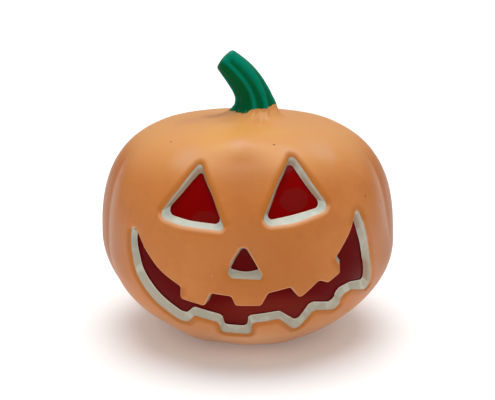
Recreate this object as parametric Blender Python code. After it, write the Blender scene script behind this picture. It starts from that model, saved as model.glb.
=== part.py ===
"""Carved pumpkin lantern, moulded in plastic.

Two pieces: a hollow ribbed shell with its stem, pierced by two eyes, a nose and
a toothed mouth, and a thin curved panel that stands close behind the face.

Units are metres, +Z is up, the face looks towards -Y, and the origin is the
middle of the flat base.
"""

import math

import bmesh
import bpy
import numpy as np
from mathutils import Vector

MM = 0.001

# Body: flat underneath, with a superellipse above and another below its widest ring
BODY_RADIUS = 115 * MM
BASE_RADIUS = 48 * MM
WIDEST_HEIGHT = 76.7 * MM
CROWN_HEIGHT = 169.2 * MM
UPPER_ROUNDNESS = (3.63, 2.40)
LOWER_ROUNDNESS = (1.395, 1.895)
WALL = 6 * MM

# Ribs: grooves run down the skin at these angles from the middle of the face. The
# groove on the face's right dies out below the middle, where the skin swells instead
SIDE_GROOVES = (-180, -144, -108, -72, 108, 144, 180)
SIDE_GROOVE_DEPTH = 3.2 * MM
SIDE_GROOVE_WIDTH = 9
RIGHT_GROOVE = 72
RIGHT_SWELL = 1.6 * MM
RIGHT_SWELL_HEIGHT = 85 * MM
RIGHT_SWELL_REACH = 16 * MM
BROW_GROOVE_DEPTH = 2.4 * MM
BROW_GROOVE_WIDTH = 17
BROW_GROOVE_HEIGHT = 146 * MM
BROW_GROOVE_REACH = 34 * MM

# Stem: a ridged horn that leans towards -X from a foot in the crown
FOOT_OUTER_RADIUS = 31 * MM
STEM_PATH = ((6.5, 175), (6.0, 190), (-3.4, 201.2), (-16.2, 212.0))
STEM_RADII = (16.4, 14.0, 12.4, 11.7, 11.0, 10.0, 8.7)
STEM_RIDGES = 8
STEM_RIDGE_DEPTH = 0.07
STEM_TIP_ROUND = 2.2 * MM

# Panel behind the face
PANEL_GAP = 0.4 * MM
PANEL_THICKNESS = 1.2 * MM
PANEL_HALF_ANGLE = 66
PANEL_FOOT = 12 * MM
PANEL_TOP = 160 * MM

# Openings as seen from the front: (across, height, corner radius), in millimetres
LEFT_EYE = (
    (-32.6, 151.8, 3.0), (-48.6, 137.2, 60), (-62.4, 111.6, 4.0),
    (-40.0, 109.6, 90), (-14.2, 109.4, 3.0), (-21.8, 132.0, 70),
)
RIGHT_EYE = (
    (31.4, 154.0, 3.5), (27.0, 151.6, 3.0), (19.0, 138.6, 70), (7.4, 113.0, 4.5),
    (34.0, 113.2, 90), (57.4, 119.8, 4.5), (45.0, 138.6, 90),
)
NOSE = ((-2.6, 102.2, 3.5), (-12.6, 85.8, 16), (-15.2, 76.2, 3.0), (12.6, 76.8, 2.5))
MOUTH = (
    (-82.0, 106.2, 2.0), (-74.0, 91.0, 60), (-63.0, 76.8, 60), (-47.0, 66.6, 2.5),
    (-47.6, 56.4, 2.5), (-30.4, 52.6, 1.8), (-25.8, 64.0, 1.8), (-11.4, 62.4, 1.8),
    (-8.2, 54.4, 2.0), (9.4, 54.4, 2.0), (14.4, 64.8, 2.5), (30.2, 68.4, 2.5),
    (36.8, 58.4, 2.5), (50.4, 71.0, 3.0), (57.2, 67.8, 2.0), (65.8, 73.6, 2.0),
    (65.4, 79.6, 2.0), (62.0, 85.0, 1.2), (72.4, 101.0, 60), (77.6, 118.4, 2.0),
    (86.6, 92.0, 60), (89.4, 72.0, 60), (89.2, 48.8, 3.5), (75.8, 57.6, 6.0),
    (67.6, 55.0, 4.0), (65.6, 40.8, 3.5), (47.0, 46.8, 3.0), (35.0, 25.6, 4.0),
    (22.4, 42.4, 3.0), (2.2, 38.8, 1.8), (1.4, 25.2, 3.5), (-18.4, 26.6, 2.5),
    (-20.8, 38.2, 3.0), (-38.6, 42.8, 3.0), (-44.0, 33.4, 3.0), (-49.0, 33.6, 3.0),
    (-66.0, 46.6, 60), (-79.0, 67.0, 60), (-84.0, 90.0, 60),
)
# Each opening narrows by the first distance from the skin to the inside of the wall,
# and its inside edge sits higher by the second
OPENINGS = (
    ("left_eye_cutter", LEFT_EYE, 3.3 * MM, 1.4 * MM),
    ("right_eye_cutter", RIGHT_EYE, 3.3 * MM, 1.4 * MM),
    ("nose_cutter", NOSE, 2.0 * MM, 1.5 * MM),
    ("mouth_cutter", MOUTH, 2.0 * MM, 1.8 * MM),
)

# Facets
OUTLINE_SAMPLES = 400
COLUMNS = 60
SKIN_ROWS = 30
FOOT_ROWS = 3
STEM_ROWS = 8
CAVITY_ROWS = 24
ARC_STEPS = 3
SIDE_STEP = 7 * MM
MERGE_DISTANCE = 0.01 * MM
SHARP_DEGREES = 40

# A corner's arc takes up at most this share of the sides that meet there
LARGEST_ARC = 0.48

# Cutters: how far their sloping sides run on past the skin and past the wall,
# as shares of the wall, and how far they then stand out square to the skin
CUT_PAST_SKIN = 0.15
CUT_PAST_WALL = 0.15
CUT_PROUD = 7 * MM


def meridian():
    """Radius, height and running length of the body's outline, base edge to crown."""
    turn = np.linspace(0, math.pi / 2, OUTLINE_SAMPLES)
    lower = LOWER_ROUNDNESS
    upper = UPPER_ROUNDNESS
    low_r = BASE_RADIUS + (BODY_RADIUS - BASE_RADIUS) * np.cos(turn) ** (2 / lower[0])
    low_z = WIDEST_HEIGHT * (1 - np.sin(turn) ** (2 / lower[1]))
    high_r = BODY_RADIUS * np.cos(turn) ** (2 / upper[0])
    high_z = WIDEST_HEIGHT + (CROWN_HEIGHT - WIDEST_HEIGHT) * np.sin(turn) ** (2 / upper[1])
    radii = np.concatenate([low_r[::-1], high_r[1:]])
    heights = np.concatenate([low_z[::-1], high_z[1:]])
    steps = np.hypot(np.diff(radii), np.diff(heights))
    return radii, heights, np.concatenate([[0], np.cumsum(steps)])


RADII, HEIGHTS, LENGTHS = meridian()


def radius_at(length):
    return float(np.interp(length, LENGTHS, RADII))


def height_at(length):
    return float(np.interp(length, LENGTHS, HEIGHTS))


def length_at(height):
    return float(np.interp(height, HEIGHTS, LENGTHS))


def length_at_top_radius(radius):
    """Length at which the upper part of the outline has come in to a radius."""
    return float(np.interp(-radius, -RADII[OUTLINE_SAMPLES:], LENGTHS[OUTLINE_SAMPLES:]))


def groove(angle, height):
    """How far the ribs' grooves pull the skin in, at an angle in radians."""
    degrees = math.degrees(angle)
    depth = 0.0
    for middle in SIDE_GROOVES:
        depth += SIDE_GROOVE_DEPTH * math.exp(-(((degrees - middle) / SIDE_GROOVE_WIDTH) ** 2))
    fade = 0.5 + 0.5 * math.tanh((height - RIGHT_SWELL_HEIGHT) / RIGHT_SWELL_REACH)
    right_depth = SIDE_GROOVE_DEPTH * fade - RIGHT_SWELL * (1 - fade)
    depth += right_depth * math.exp(-(((degrees - RIGHT_GROOVE) / SIDE_GROOVE_WIDTH) ** 2))
    rise = (height - BROW_GROOVE_HEIGHT) / BROW_GROOVE_REACH
    across = degrees / BROW_GROOVE_WIDTH
    depth += BROW_GROOVE_DEPTH * math.exp(-(across ** 2) - rise ** 2)
    return depth


def skin_point(angle, length, depth=0.0):
    """Point on the body at an angle from the face and a length up the outline."""
    nudge = 1 * MM
    ahead = min(length + nudge, LENGTHS[-1])
    behind = max(length - nudge, 0.0)
    slope = Vector((radius_at(ahead) - radius_at(behind), height_at(ahead) - height_at(behind)))
    slope.normalize()
    radius = radius_at(length)
    height = height_at(length)
    ribbed = radius - groove(angle, height) * (radius / BODY_RADIUS) ** 2 * slope.y
    radius = ribbed - depth * slope.y
    height = height + depth * slope.x
    return Vector((radius * math.sin(angle), -radius * math.cos(angle), height))


def stem_ring(share):
    """Centre, sideways direction and radius of the stem at a share of its length."""
    a, b, c, d = (Vector((x, z)) * MM for x, z in STEM_PATH)
    rest = 1 - share
    centre = rest ** 3 * a + 3 * rest ** 2 * share * b + 3 * rest * share ** 2 * c + share ** 3 * d
    heading = rest ** 2 * (b - a) + 2 * rest * share * (c - b) + share ** 2 * (d - c)
    heading.normalize()
    sideways = Vector((heading.y, -heading.x))
    stations = np.linspace(0, 1, len(STEM_RADII))
    radius = float(np.interp(share, stations, STEM_RADII)) * MM
    return centre, sideways, radius


def stem_point(angle, share, shrink=0.0, lift=0.0):
    """Point on the ridged stem, drawn in by shrink and pushed on along it by lift."""
    centre, sideways, radius = stem_ring(share)
    ridge = 2 * abs(math.cos(STEM_RIDGES * angle / 2)) - 1
    radius = max(radius * (1 + STEM_RIDGE_DEPTH * ridge) - shrink, 0.0)
    forward = Vector((-sideways.y, sideways.x))
    spot = centre + sideways * (radius * math.sin(angle)) + forward * lift
    return Vector((spot.x, -radius * math.cos(angle), spot.y))


def foot_point(angle, share):
    """Point on the foot, between the crown and the stem's first ring."""
    start = skin_point(angle, length_at_top_radius(FOOT_OUTER_RADIUS))
    end = stem_point(angle, 0.0)
    spot = start.lerp(end, share)
    spot.z = start.z + (end.z - start.z) * share ** 2
    return spot


def wrapped_grid(name, columns, rows, place):
    """A grid of faces whose points are set by place(column, row)."""
    shape = bmesh.new()
    bmesh.ops.create_grid(shape, x_segments=columns, y_segments=rows, size=1)
    for vertex in shape.verts:
        column = round((vertex.co.x + 1) / 2 * columns)
        row = round((vertex.co.y + 1) / 2 * rows)
        vertex.co = place(column, row)
    bmesh.ops.remove_doubles(shape, verts=shape.verts, dist=MERGE_DISTANCE)
    bmesh.ops.recalc_face_normals(shape, faces=shape.faces)
    return finished(name, shape)


def finished(name, shape):
    mesh = bpy.data.meshes.new(name)
    shape.to_mesh(mesh)
    shape.free()
    mesh.shade_smooth()
    mesh.set_sharp_from_angle(angle=math.radians(SHARP_DEGREES))
    piece = bpy.data.objects.new(name, mesh)
    bpy.context.collection.objects.link(piece)
    return piece


def turn_of(column):
    """Angle of a column; the first and the last are the same line down the back."""
    return -math.pi + 2 * math.pi * (column % COLUMNS) / COLUMNS


def outer_skin():
    """The body, its foot and the stem as one closed skin."""
    top_length = length_at_top_radius(FOOT_OUTER_RADIUS)
    body_rows = SKIN_ROWS + 1
    foot_end = body_rows + FOOT_ROWS
    stem_end = foot_end + STEM_ROWS
    rows = stem_end + 2

    def place(column, row):
        angle = turn_of(column)
        if row == 0:
            return Vector((0, 0, 0))
        if row <= body_rows:
            return skin_point(angle, top_length * (row - 1) / SKIN_ROWS)
        if row <= foot_end:
            return foot_point(angle, (row - body_rows) / FOOT_ROWS)
        if row <= stem_end:
            return stem_point(angle, (row - foot_end) / STEM_ROWS)
        if row == stem_end + 1:
            return stem_point(angle, 1, shrink=STEM_TIP_ROUND, lift=STEM_TIP_ROUND)
        return stem_point(angle, 1, shrink=math.inf, lift=STEM_TIP_ROUND)

    return wrapped_grid("shell", COLUMNS, rows, place)


def cavity():
    """The hollow inside the shell, one wall's thickness under the skin."""

    def place(column, row):
        if row == 0:
            return Vector((0, 0, WALL))
        return skin_point(turn_of(column), LENGTHS[-1] * (row - 1) / CAVITY_ROWS, WALL)

    return wrapped_grid("cavity_cutter", COLUMNS, CAVITY_ROWS + 1, place)


def flattened(corner):
    """A front-view corner as (arc round the widest ring, length up the outline)."""
    across, height, radius = (value * MM for value in corner)
    length = length_at(height)
    angle = math.asin(across / radius_at(length))
    for _ in range(3):
        reach = skin_point(angle, length)
        angle = math.asin(across / math.hypot(reach.x, reach.y))
    return Vector((angle * BODY_RADIUS, length)), radius


def drawn_in(corners, inset, lift):
    """The corners moved inwards by inset, square to both sides, and then lifted."""
    moved = []
    area = sum(a[0].cross(b[0]) for a, b in zip(corners, corners[1:] + corners[:1]))
    side = math.copysign(1, area)
    for index, (spot, radius) in enumerate(corners):
        before = (spot - corners[index - 1][0]).normalized()
        after = (corners[(index + 1) % len(corners)][0] - spot).normalized()
        first = Vector((-before.y, before.x)) * side
        second = Vector((-after.y, after.x)) * side
        shift = (first + second) * (inset / (1 + first.dot(second)))
        moved.append((spot + shift + Vector((0, lift)), radius))
    return moved


def arc_cuts(corners):
    """How much of each side the rounding at each corner takes up."""
    cuts = []
    for index, (spot, radius) in enumerate(corners):
        back = corners[index - 1][0] - spot
        ahead = corners[(index + 1) % len(corners)][0] - spot
        half = back.angle(ahead) / 2
        longest = LARGEST_ARC * min(back.length, ahead.length)
        cuts.append(min(radius / math.tan(half), longest))
    return cuts


def side_steps(corners):
    """How many steps the straight part of each side is divided into."""
    cuts = arc_cuts(corners)
    steps = []
    for index, (spot, _) in enumerate(corners):
        after = (index + 1) % len(corners)
        straight = (corners[after][0] - spot).length - cuts[index] - cuts[after]
        steps.append(max(1, round(straight / SIDE_STEP)))
    return steps


def rounded(corners, steps):
    """The outline through the corners, each one turned into an arc."""
    cuts = arc_cuts(corners)
    outline = []
    for index, (spot, _) in enumerate(corners):
        after = (index + 1) % len(corners)
        back = (corners[index - 1][0] - spot).normalized()
        ahead = (corners[after][0] - spot).normalized()
        start = spot + back * cuts[index]
        end = spot + ahead * cuts[index]
        weight = math.sin(back.angle(ahead) / 2)
        for step in range(ARC_STEPS + 1):
            share = step / ARC_STEPS
            rest = 1 - share
            bend = rest ** 2 * start + 2 * rest * share * weight * spot + share ** 2 * end
            outline.append(bend / (rest ** 2 + 2 * rest * share * weight + share ** 2))
        goal = corners[after][0] - ahead * cuts[after]
        for step in range(1, steps[index]):
            outline.append(end.lerp(goal, step / steps[index]))
    return outline


def pushed_out(shape, faces, layer, level):
    """Extrude faces, note the new points' level in a layer, return the new faces."""
    grown = bmesh.ops.extrude_face_region(shape, geom=faces)["geom"]
    for item in grown:
        if isinstance(item, bmesh.types.BMVert):
            item[layer] = level
    return [item for item in grown if isinstance(item, bmesh.types.BMFace)]


def cutter(name, corners, inset, lift):
    """A plug with drafted sides that pierces the wall along an opening's outline."""
    outer = [flattened(corner) for corner in corners]
    steps = side_steps(outer)
    rim = rounded(outer, steps)
    throat = rounded(drawn_in(outer, inset, lift), steps)

    shape = bmesh.new()
    order = shape.verts.layers.int.new("order")
    level = shape.verts.layers.int.new("level")
    ring = [shape.verts.new((spot.x, spot.y, 0)) for spot in rim]
    for index, vertex in enumerate(ring):
        vertex[order] = index
    edges = [shape.edges.new((ring[index - 1], ring[index])) for index in range(len(ring))]
    bmesh.ops.triangle_fill(shape, edges=edges, use_beauty=True, normal=(0, 0, 1))
    at_skin = pushed_out(shape, shape.faces[:], level, 1)
    pushed_out(shape, at_skin, level, 2)
    bmesh.ops.delete(shape, geom=at_skin, context="FACES_ONLY")

    for vertex in shape.verts:
        mouth = rim[vertex[order]]
        angle = mouth.x / BODY_RADIUS
        skin = skin_point(angle, mouth.y)
        inner = throat[vertex[order]]
        back = skin_point(inner.x / BODY_RADIUS, inner.y, WALL)
        if vertex[level] == 0:
            vertex.co = back + (back - skin) * CUT_PAST_WALL
        else:
            vertex.co = skin + (skin - back) * CUT_PAST_SKIN
        if vertex[level] == 2:
            vertex.co += skin_point(angle, mouth.y, -CUT_PROUD) - skin
    bmesh.ops.recalc_face_normals(shape, faces=shape.faces)
    return finished(name, shape)


def cut_away(piece, tool):
    """Take a cutter out of a piece and leave the cutter as a hidden guide."""
    cut = piece.modifiers.new(tool.name, "BOOLEAN")
    cut.operation = "DIFFERENCE"
    cut.solver = "EXACT"
    cut.object = tool
    tool.hide_render = True
    tool.display_type = "WIRE"


def face_panel():
    """The thin curved panel that backs the eyes, nose and mouth."""
    columns = round(PANEL_HALF_ANGLE * 2 * COLUMNS / 360)
    step = LENGTHS[-1] / CAVITY_ROWS
    first = math.ceil(length_at(PANEL_FOOT) / step)
    last = math.floor(length_at(PANEL_TOP) / step)

    def place(column, row):
        angle = math.radians(PANEL_HALF_ANGLE) * (2 * column / columns - 1)
        return skin_point(angle, (first + row) * step, WALL + PANEL_GAP)

    panel = wrapped_grid("liner", columns, last - first, place)
    thicken = panel.modifiers.new("thickness", "SOLIDIFY")
    thicken.thickness = PANEL_THICKNESS
    thicken.offset = -1
    thicken.use_even_offset = True
    return panel


def plastic(name, colour, roughness):
    material = bpy.data.materials.new(name)
    material.use_nodes = True
    shader = material.node_tree.nodes["Principled BSDF"]
    shader.inputs["Base Color"].default_value = (*colour, 1)
    shader.inputs["Roughness"].default_value = roughness
    shader.inputs["Metallic"].default_value = 0
    return material


def main():
    for item in list(bpy.data.objects):
        bpy.data.objects.remove(item, do_unlink=True)

    shell = outer_skin()
    cut_away(shell, cavity())
    for name, corners, inset, lift in OPENINGS:
        cut_away(shell, cutter(name, corners, inset, lift))
    shell.data.materials.append(plastic("painted_orange_plastic", (0.68, 0.26, 0.08), 0.45))

    panel = face_panel()
    panel.data.materials.append(plastic("red_plastic", (0.21, 0.005, 0.004), 0.15))


main()
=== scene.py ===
import math

import bmesh
import bpy
import numpy as np
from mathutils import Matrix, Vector, geometry, kdtree


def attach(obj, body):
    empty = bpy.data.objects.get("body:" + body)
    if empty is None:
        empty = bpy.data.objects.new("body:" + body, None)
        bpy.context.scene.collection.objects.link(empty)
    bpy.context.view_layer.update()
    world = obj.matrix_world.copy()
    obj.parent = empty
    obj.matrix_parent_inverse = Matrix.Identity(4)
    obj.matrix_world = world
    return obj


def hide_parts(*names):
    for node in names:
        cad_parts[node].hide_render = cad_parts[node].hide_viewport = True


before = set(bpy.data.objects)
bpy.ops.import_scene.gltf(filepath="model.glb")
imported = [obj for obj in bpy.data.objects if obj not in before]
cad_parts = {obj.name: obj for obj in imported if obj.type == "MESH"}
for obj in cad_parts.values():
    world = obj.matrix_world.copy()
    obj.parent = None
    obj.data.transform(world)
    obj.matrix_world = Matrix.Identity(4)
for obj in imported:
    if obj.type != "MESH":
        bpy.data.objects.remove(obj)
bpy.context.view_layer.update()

MM = 0.001

# Body: flat underneath, with a superellipse above and another below its widest ring
BODY_RADIUS = 115 * MM
BASE_RADIUS = 48 * MM
WIDEST_HEIGHT = 76.7 * MM
CROWN_HEIGHT = 169.2 * MM
UPPER_ROUNDNESS = (3.63, 2.40)
LOWER_ROUNDNESS = (1.395, 1.895)
WALL = 6 * MM
OUTLINE_SAMPLES = 400

# Ribs: grooves run down the skin at these angles from the middle of the face. The
# groove on the face's right dies out below the middle, where the skin swells instead
SIDE_GROOVES = (-144, -108, -72, 108, 144, 180)
SIDE_GROOVE_DEPTH = 3.2 * MM
SIDE_GROOVE_WIDTH = 9
RIGHT_GROOVE = 72
RIGHT_SWELL = 1.6 * MM
RIGHT_SWELL_HEIGHT = 85 * MM
RIGHT_SWELL_REACH = 16 * MM
BROW_GROOVE_DEPTH = 2.4 * MM
BROW_GROOVE_WIDTH = 17
BROW_GROOVE_HEIGHT = 146 * MM
BROW_GROOVE_REACH = 34 * MM

# A narrow crease lies at the bottom of each groove, and the skin swells or sinks a
# little round some spots: angle, height, rise, width in degrees, reach up and down
CREASE_DEPTH = 0.9 * MM
CREASE_WIDTH = 2.4
SWELLS = (
    (-4, 162 * MM, 0.8 * MM, 18, 4 * MM, 4 * MM),
    (-3, 152 * MM, -2.8 * MM, 13, 6 * MM, 27 * MM),
    (-52, 13 * MM, -1.6 * MM, 9, 13 * MM, 13 * MM),
    (-60, 30 * MM, -0.5 * MM, 14, 14 * MM, 14 * MM),
    (-34, 5 * MM, 0.5 * MM, 7, 10 * MM, 10 * MM),
    (-18, 4 * MM, -0.7 * MM, 9, 12 * MM, 12 * MM),
    (25, 4 * MM, 0.7 * MM, 9, 12 * MM, 12 * MM),
    (-150, 169 * MM, -1.2 * MM, 50, 4 * MM, 4 * MM),
    (150, 169 * MM, -1.2 * MM, 50, 4 * MM, 4 * MM),
    (92, 153 * MM, -1.0 * MM, 38, 18 * MM, 30 * MM),
)
SWELL_FADE = 8 * MM

# Folds run out from the stem's foot: angle, rise, width in degrees
FOLDS = (
    (-2, 1.4 * MM, 9), (17, -1.3 * MM, 6), (36, 1.0 * MM, 9), (-36, -1.0 * MM, 11),
    (-64, 0.7 * MM, 12), (150, 0.8 * MM, 12), (-130, 0.8 * MM, 12),
)
FOLD_REACH = 12 * MM

# Stem: a ridged horn that leans towards -X from a foot in the crown. Its path, across
# and up, and its radii are in millimetres. Each ridge has an angle from the face, a
# height as a share of the radius, a width in degrees, and its angle and width at the tip
FOOT_OUTER_RADIUS = 31 * MM
STEM_PATH = ((6.5, 175), (6.0, 190), (-3.4, 200.6), (-15.4, 211.2))
STEM_RADII = (17.2, 14.0, 12.4, 11.7, 11.2, 10.5, 9.7)
STEM_RIDGES = (
    (-88, 0.21, 13, -88, 13), (-4, 0.15, 8, -2, 10), (28, 0.15, 7, 48, 27),
    (76, 0.06, 20, 96, 16), (132, 0.13, 15, 132, 15), (175, 0.14, 17, 175, 17),
    (-138, 0.15, 15, -138, 15),
)
RIDGE_FADE = 0.55
STEM_HOLLOW = 0.93
STEM_TIP_ROUND = 3.2 * MM
TIP_DOME = 0.8 * MM

# Openings as seen from the front: (across, height, corner radius), in millimetres.
# Each has its rim on the skin and its throat, corner for corner, inside the wall
LEFT_EYE = (
    (-32.7, 152.7, 2.8), (-48.4, 134.4, 60), (-63.7, 114.3, 4.7),
    (-47.5, 110.8, 60), (-15.4, 109.2, 2.8), (-24.1, 132.0, 70),
)
LEFT_EYE_THROAT = (
    (-33.0, 149.4, 3.0), (-48.3, 132.3, 60), (-61.0, 117.5, 5.1),
    (-42.2, 114.3, 60), (-17.7, 113.1, 3.8), (-25.0, 132.3, 70),
)
RIGHT_EYE = (
    (30.6, 157.3, 3.8), (21.1, 141.6, 70), (8.1, 112.2, 5.4),
    (31.0, 113.4, 60), (58.3, 120.4, 5.2), (44.8, 139.3, 90),
)
RIGHT_EYE_THROAT = (
    (30.0, 155.5, 3.9), (21.5, 139.2, 70), (12.4, 115.9, 3.3),
    (31.8, 118.9, 60), (54.9, 123.1, 4.6), (41.1, 140.1, 90),
)
NOSE = (
    (-2.7, 102.2, 3.8), (-11.7, 87.3, 16), (-14.5, 76.3, 4.2),
    (-0.3, 75.9, 30), (11.9, 75.2, 2.3),
)
NOSE_THROAT = (
    (-2.5, 99.6, 3.0), (-9.4, 88.8, 30), (-12.8, 81.8, 1.2),
    (-1.8, 79.0, 20), (8.8, 81.2, 1.2),
)
UPPER_LIP = (
    (-83.0, 106.8, 3.0), (-74.0, 91.0, 60), (-63.0, 76.8, 60), (-47.0, 66.6, 3.0),
    (-47.6, 56.4, 3.0), (-30.4, 52.6, 2.4), (-25.8, 64.0, 2.4), (-11.4, 62.4, 2.6),
    (-8.2, 54.4, 2.8), (9.4, 54.4, 2.8), (14.4, 64.8, 3.0), (30.2, 68.4, 3.0),
    (36.8, 58.4, 3.0), (50.4, 71.0, 3.5), (57.2, 67.8, 2.6), (65.8, 73.6, 2.4),
    (65.4, 79.6, 2.4), (62.0, 85.0, 1.4), (72.4, 101.0, 60), (78.2, 118.2, 3.0),
)
UPPER_THROAT = (
    (-82.4, 103.4, 2.0), (-75.1, 91.6, 60), (-64.0, 77.1, 60), (-49.1, 67.5, 2.5),
    (-49.7, 56.7, 2.5), (-29.3, 52.2, 1.8), (-24.7, 63.8, 1.8), (-12.8, 62.4, 1.8),
    (-9.5, 54.3, 2.0), (10.6, 54.3, 2.0), (15.8, 65.0, 2.5), (29.4, 68.1, 2.5),
    (36.5, 57.4, 2.5), (50.8, 70.6, 3.0), (57.3, 67.5, 2.0), (68.3, 74.4, 2.0),
    (68.6, 81.0, 2.0), (64.6, 86.8, 1.2), (73.6, 101.7, 60), (79.4, 109.0, 1.5),
)
LOWER_LIP = (
    (84.0, 105.5, 40), (88.2, 89.5, 60), (90.8, 72.5, 60), (91.0, 46.4, 3.5),
    (76.2, 55.2, 6.0), (68.4, 52.4, 5.0), (66.4, 38.2, 4.5), (47.6, 44.4, 4.0),
    (35.2, 23.2, 4.5), (23.0, 40.0, 4.0), (3.2, 36.6, 3.0), (2.4, 23.4, 4.0),
    (-18.8, 24.8, 3.5), (-20.8, 36.2, 4.0), (-38.0, 41.0, 3.5), (-43.8, 32.0, 3.5),
    (-49.6, 32.2, 4.0), (-67.0, 45.6, 60), (-80.6, 66.2, 60), (-85.2, 90.0, 60),
)
LOWER_THROAT = (
    (82.5, 99.2, 40), (85.4, 89.9, 60), (87.6, 77.5, 60), (89.2, 55.6, 1.8),
    (78.0, 58.6, 6.0), (66.5, 56.0, 6.4), (65.2, 42.8, 5.6), (46.9, 48.6, 4.8),
    (37.0, 29.2, 3.5), (23.6, 43.2, 4.0), (1.0, 39.6, 3.8), (0.0, 26.9, 5.6),
    (-17.3, 28.3, 4.0), (-19.0, 39.4, 4.8), (-39.6, 45.0, 4.0), (-45.6, 37.0, 3.5),
    (-50.0, 37.2, 4.0), (-65.0, 49.4, 60), (-78.4, 68.8, 60), (-84.0, 91.4, 60),
)
EYE_LIP = 3.2 * MM
NOSE_LIP = 2.0 * MM
UPPER_LIP_ROUND = 0.9 * MM
LOWER_LIP_ROUND = 2.6 * MM

# Rim, throat, and how far the skin bends in round the opening and along its upper lip
OPENINGS = (
    (LEFT_EYE, LEFT_EYE_THROAT, EYE_LIP, EYE_LIP),
    (RIGHT_EYE, RIGHT_EYE_THROAT, EYE_LIP, EYE_LIP),
    (NOSE, NOSE_THROAT, NOSE_LIP, NOSE_LIP),
    (UPPER_LIP + LOWER_LIP, UPPER_THROAT + LOWER_THROAT, LOWER_LIP_ROUND, UPPER_LIP_ROUND),
)
LIP_TURN = math.radians(55)
LIP_BLEND = 5 * MM
LARGEST_ARC = 0.48

# Red sheet behind the face, with a gap between it and the inside of the wall
SHEET_GAP = 0.15 * MM
SHEET_THICKNESS = 1.2 * MM
SHEET_HALF_ANGLE = 65
SHEET_FOOT = 13 * MM
SHEET_TOP = 158 * MM

# Fineness of the meshes
COLUMNS = 300
SKIN_ROW = 2.3 * MM
FOOT_ROWS = 16
STEM_ROWS = 44
TIP_ROWS = 10
BASE_ROWS = 4
INSIDE_COLUMNS = 120
INSIDE_ROW = 6 * MM
ARC_STEPS = 8
SIDE_STEP = 1.3 * MM
RING_OFFSETS = (0.25 * MM, 0.6 * MM, 1.05 * MM, 1.6 * MM)
WALL_STEPS = (
    (0.12, 0), (0.3, 0), (0.5, 0), (0.7, 0), (0.84, 0), (0.91, 0.1 * MM),
    (0.96, 0.22 * MM), (1, 0.25 * MM),
)
INNER_CHAMFER = 0.5 * MM
CLEAR_OF_RINGS = 2.2 * MM
CLEAR_INSIDE = 1.0 * MM
FILL_REACH = 12 * MM
MERGE_DISTANCE = 0.004 * MM

SHEET_COLUMNS = 200
SHEET_ROWS = 140

# Paints and plastics, with painted light and shade on them, as linear colours
ORANGE = (0.555, 0.190, 0.044)
ORANGE_DEEP = (0.51, 0.164, 0.036)
ORANGE_TOP = (0.645, 0.290, 0.088)
# Painted bounce light from the floor, on the foot
FOOT_BOUNCE_LIGHT = (0.64, 0.30, 0.13)
ORANGE_YELLOW = (0.70, 0.34, 0.065)
# Pink paint on the sides, also used as painted shade beside the stem's foot
PINK_PAINT_AND_SHADE = (0.54, 0.225, 0.10)
ORANGE_RICH = (0.41, 0.118, 0.016)
# Painted light and shade: shade in the brow's hollow and on the sides, highlights on the brow,
# shade beside the stem's foot, bounce light from the floor on the chin
BROW_HOLLOW_SHADE = (0.44, 0.135, 0.024)
SIDE_SHADE = (0.37, 0.105, 0.008)
BROW_HIGHLIGHT = (0.64, 0.33, 0.175)
STEM_FOOT_SHADE = (0.43, 0.155, 0.06)
CHIN_BOUNCE_LIGHT = (0.85, 0.46, 0.22)
# Painted shade, partly a richer paint, and painted highlight round the rims; the dark one also
# colours a speck on the stem
LIP_SHADE_AND_SPECK = (0.45, 0.138, 0.016)
LIP_HIGHLIGHT = (0.66, 0.33, 0.155)
WHITE_PLASTIC = (0.49, 0.515, 0.44)
WHITE_LOW = (0.44, 0.405, 0.315)
WHITE_CLEAN = (0.66, 0.66, 0.56)
# Painted shade with some orange overspray on the walls, and a painted highlight on their inner edge
WALL_SHADE_AND_OVERSPRAY = (0.345, 0.24, 0.16)
WALL_EDGE_HIGHLIGHT = (0.66, 0.58, 0.48)
# The stem's green: painted shade in the valleys, painted highlight on the ridges
STEM_VALLEY_SHADE = (0.0, 0.098, 0.031)
STEM_RIDGE_HIGHLIGHT = (0.0, 0.190, 0.112)
RED = (0.215, 0.0, 0.0)
RED_DEEP = (0.175, 0.0, 0.0)
# Painted shade low on the sheet, and painted reflections on it
RED_LOW_SHADE = (0.112, 0.001, 0.001)
RED_LIGHT_REFLECTION = (0.172, 0.005, 0.004)
RED_FLOOR_REFLECTION = (0.155, 0.012, 0.007)
SPECK_DARK = (0.10, 0.035, 0.015)
SPECK_LIGHT = (0.80, 0.62, 0.45)
STEM_WORN = (0.02, 0.21, 0.14)
FLOOR_PALE = (0.90, 0.90, 0.90)
FLOOR_DARK = (0.89, 0.89, 0.89)

# How shiny and how rough the satin body, the stem, the sheet and the floor are
BODY_SHINE = 0.21
STEM_SHINE = 0.03
SHEET_SHINE = 0.03
BODY_ROUGHNESS = 0.38
STEM_ROUGHNESS = 0.34
SHEET_ROUGHNESS = 0.14
FLOOR_ROUGHNESS = 0.6

# Sizes and depths of the clouds, mottling, grain and dents of the surfaces, and how far
# and how coarsely the patches stray, all in millimetres
CLOUD = 26
MOTTLE = 5
MOTTLE_DEPTH = 0.08
GRAIN = 0.9
PITS = 1.3
PIT_DEPTH = 0.03
STRAY = 16
STRAY_SIZE = 14
SHEET_CLOUD = 18
DENTS = 9
DENT_DEPTH = 0.15
FLOOR_CLOUD = 400

# Heights, or for the sides distances from the middle, between which a tint comes in: the crown's
# yellower paint, painted bounce light at the foot, painted shade on the sides, the browner lower
# walls and painted shade low on the sheet; and the heights that part the eyes from the nose and
# mouth, all in millimetres
CROWN_TINT = (130, 163)
FOOT_BOUNCE_HEIGHTS = (50, 10)
SIDE_SHADE_REACH = (80, 112)
LOW_PLASTIC = (105, 75)
SHEET_SHADE_HEIGHTS = (108, 92)
EYE_LEVEL = (104, 108)

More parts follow.
